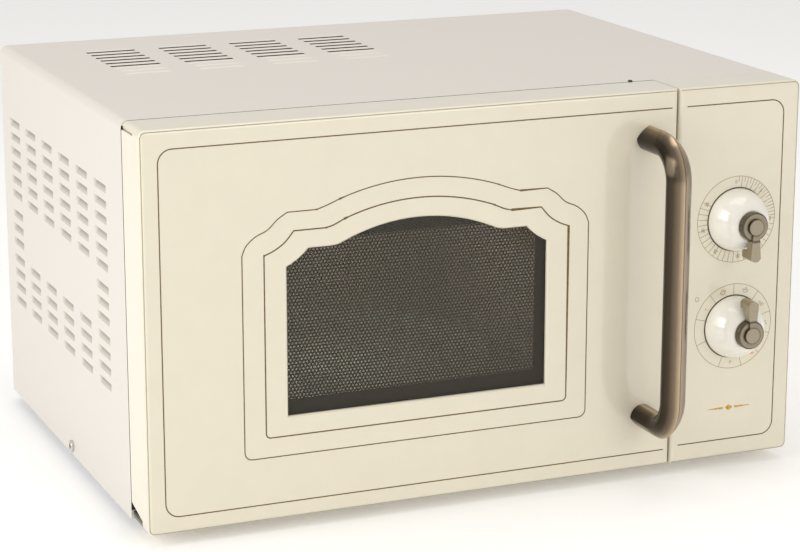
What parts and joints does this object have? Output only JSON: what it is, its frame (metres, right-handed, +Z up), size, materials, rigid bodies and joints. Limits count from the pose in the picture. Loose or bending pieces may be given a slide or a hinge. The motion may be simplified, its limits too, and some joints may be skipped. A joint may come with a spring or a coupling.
{
  "type": "microwave oven",
  "caption": "Countertop microwave oven with a side-hinged windowed door, bowed bar handle, rotary timer and power dials, and a glass turntable.",
  "frame": {"origin": "on the worktop under the middle of the whole oven, handle and rear cord bushing included", "axes": "+X to the right seen from the front, -Y out of the front, +Z up"},
  "size_m": [0.456, 0.391, 0.262],
  "materials": {
    "case_paint": "satin off-white enamel",
    "steel_zinc": "zinc-coated sheet steel",
    "screw_steel": "bright zinc plating",
    "rubber_foot": "matt",
    "black_plastic": "fine matt",
    "enamel": "smooth pale grey enamel",
    "mica": "mica sheet",
    "aluminium_fin": "rolled",
    "antenna_metal": "polished cap",
    "copper": "varnished copper wire",
    "lamp_glass": "frosted",
    "ivory_gloss": "high-gloss ivory",
    "pale_plastic": "moulded",
    "dark_glass": "dark tint, gloss",
    "screen_black": "dark paint",
    "clear_pane": "clear",
    "bronze": "antique bronze plating, brushed",
    "pearl": "pearl gloss",
    "spindle_brass": "turned",
    "plate_glass": "clear, slightly green"
  },
  "bodies": {
    "oven": {"outer_case": "case_paint", "front_frame": "steel_zinc", "rear_panel": "steel_zinc", "base_plate": "steel_zinc", "feet": "rubber_foot", "rear_screws": "screw_steel", "side_screw_left": "screw_steel", "side_screw_right": "screw_steel", "foot_screws": "screw_steel", "cord_bushing": "black_plastic", "cavity": "enamel", "waveguide": "steel_zinc", "waveguide_cover": "mica", "magnetron_frame": "steel_zinc", "magnetron_fins": "aluminium_fin", "magnetron_antenna": "antenna_metal", "magnetron_filter": "steel_zinc", "transformer_core": "steel_zinc", "primary_winding": "copper", "secondary_winding": "copper", "capacitor": "aluminium_fin", "capacitor_strap": "steel_zinc", "fan_shroud": "steel_zinc", "fan_motor": "steel_zinc", "lamp_holder": "steel_zinc", "lamp_bulb": "lamp_glass", "thermal_cutout": "black_plastic", "interlock_bracket": "steel_zinc", "door_switches": "black_plastic", "control_panel": "ivory_gloss", "timer_unit": "pale_plastic", "power_selector": "pale_plastic", "hinge_arms": "steel_zinc", "turntable_motor": "steel_zinc"},
    "door": {"door_shell": "ivory_gloss", "window_pane": "dark_glass", "door_frame": "steel_zinc", "door_screen": "screen_black", "choke_cover": "black_plastic", "inner_pane": "clear_pane", "hinge_blocks": "steel_zinc", "handle": "bronze", "handle_screws": "screw_steel", "spring_seat": "black_plastic", "latch_spring": "screw_steel"},
    "latch": {"latch_bar": "black_plastic"},
    "timer_dial": {"timer_dome": "pearl", "timer_pointer": "bronze", "timer_spindle": "spindle_brass"},
    "power_dial": {"power_dome": "pearl", "power_pointer": "bronze", "power_spindle": "spindle_brass"},
    "turntable_drive": {"drive_coupler": "pale_plastic"},
    "plate": {"glass_plate": "plate_glass"},
    "roller_ring": {"roller_ring": "pale_plastic"},
    "roller_1": {"roller_1": "pale_plastic"},
    "roller_2": {"roller_2": "pale_plastic"},
    "roller_3": {"roller_3": "pale_plastic"},
    "fan": {"fan_blades": "pale_plastic"}
  },
  "joints": [
    {"name": "door_hinge", "type": "hinge", "parent": "oven", "child": "door", "pos_m": [-0.22, -0.1275, 0.135], "axis": [0, 0, -1], "range_deg": [0, 100]},
    {"name": "latch_lift", "type": "slide", "parent": "door", "child": "latch", "axis": [0, 0, 1], "range_m": [0, 0.0038], "stiffness_N_per_m": 150, "springref_m": -0.004, "deforming": ["latch_spring"]},
    {"name": "timer_turn", "type": "hinge", "parent": "oven", "child": "timer_dial", "pos_m": [0.181, -0.1455, 0.172], "axis": [0, 1, 0], "range_deg": [-180, 120]},
    {"name": "power_turn", "type": "hinge", "parent": "oven", "child": "power_dial", "pos_m": [0.181, -0.1455, 0.099], "axis": [0, 1, 0], "range_deg": [-38, 160]},
    {"name": "turntable_turn", "type": "hinge", "parent": "oven", "child": "turntable_drive", "pos_m": [-0.046, 0.0335, 0.033], "axis": [0, 0, 1], "continuous": true},
    {"name": "plate_lift", "type": "slide", "parent": "turntable_drive", "child": "plate", "axis": [0, 0, 1], "range_m": [0, 0.06]},
    {"name": "roller_ring_turn", "type": "hinge", "parent": "oven", "child": "roller_ring", "pos_m": [-0.046, 0.0335, 0.033], "axis": [0, 0, 1], "continuous": true},
    {"name": "roller_1_spin", "type": "hinge", "parent": "roller_ring", "child": "roller_1", "pos_m": [0.049, 0.0335, 0.04], "axis": [1, 0, 0], "continuous": true},
    {"name": "roller_2_spin", "type": "hinge", "parent": "roller_ring", "child": "roller_2", "pos_m": [-0.0935, 0.11577, 0.04], "axis": [-0.5, 0.866, 0], "continuous": true},
    {"name": "roller_3_spin", "type": "hinge", "parent": "roller_ring", "child": "roller_3", "pos_m": [-0.0935, -0.04877, 0.04], "axis": [-0.5, -0.866, 0], "continuous": true},
    {"name": "fan_turn", "type": "hinge", "parent": "oven", "child": "fan", "pos_m": [0.1798, 0.1477, 0.155], "axis": [0, -1, 0], "continuous": true}
  ],
  "couplings": [
    {"joint": "roller_ring_turn", "follows": "turntable_turn", "ratio": 0.5},
    {"joint": "roller_1_spin", "follows": "turntable_turn", "ratio": -7.0896},
    {"joint": "roller_2_spin", "follows": "turntable_turn", "ratio": -7.0896},
    {"joint": "roller_3_spin", "follows": "turntable_turn", "ratio": -7.0896}
  ]
}
